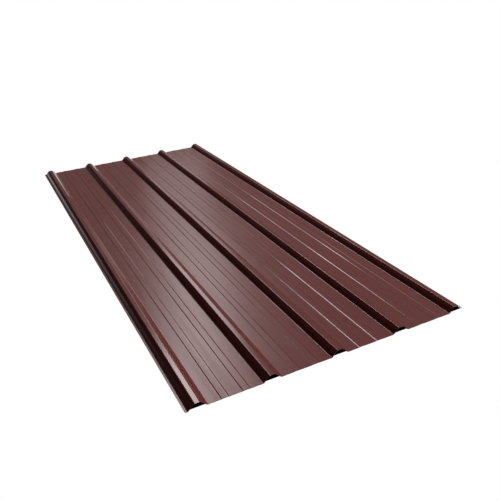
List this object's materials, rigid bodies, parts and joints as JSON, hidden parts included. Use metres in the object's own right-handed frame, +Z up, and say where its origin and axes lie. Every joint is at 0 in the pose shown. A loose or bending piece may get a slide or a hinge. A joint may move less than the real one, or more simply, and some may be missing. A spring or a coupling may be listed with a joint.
{
  "type": "ribbed roofing sheet",
  "caption": "Roll-formed painted steel roofing sheet with tall trapezoidal ribs along its length, low stiffening ribs in the flats between, a flat underlap lip and an overlapping last rib.",
  "frame": {"origin": "on the floor the flats lie on, under the middle of the sheet's outline", "axes": "+Z up, away from the building; +Y along the ribs, towards the far end; +X across the ribs, from the underlap lip to the overlap rib"},
  "size_m": [0.9786, 2.4384, 0.0194],
  "materials": {
    "painted_sheet": "semi-gloss dark red-brown coil paint"
  },
  "bodies": {
    "root": {"roofing_sheet": "painted_sheet"}
  },
  "joints": []
}
